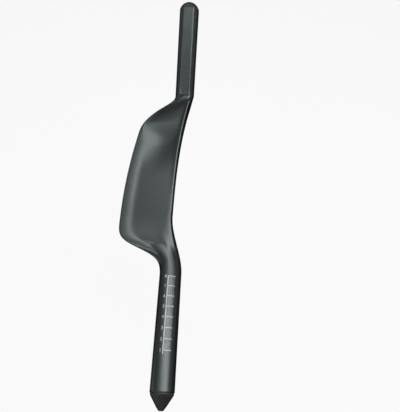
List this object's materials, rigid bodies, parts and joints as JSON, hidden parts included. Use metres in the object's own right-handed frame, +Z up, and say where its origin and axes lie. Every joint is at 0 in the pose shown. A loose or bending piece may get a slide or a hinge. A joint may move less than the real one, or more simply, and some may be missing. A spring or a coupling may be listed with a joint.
{
  "type": "aero handlebar extension",
  "caption": "Left-hand time-trial bar extension: a hollow carbon moulding with a round clamp tube, a dished forearm wing and a rising grip, closed by rubber end plugs.",
  "frame": {"origin": "middle of the round clamp tube, on its axis", "axes": "+Y forward along the clamp tube, +Z up, +X toward the bicycle's centre line"},
  "size_m": [0.0798, 0.4169, 0.126],
  "materials": {
    "carbon": "satin black laminate",
    "scale_ink": "white ink, printed on the clamp tube",
    "plug_rubber": "satin moulded rubber"
  },
  "bodies": {
    "root": {"extension_body": "carbon", "rear_cone_plug": "plug_rubber", "front_dome_plug": "plug_rubber"}
  },
  "joints": []
}
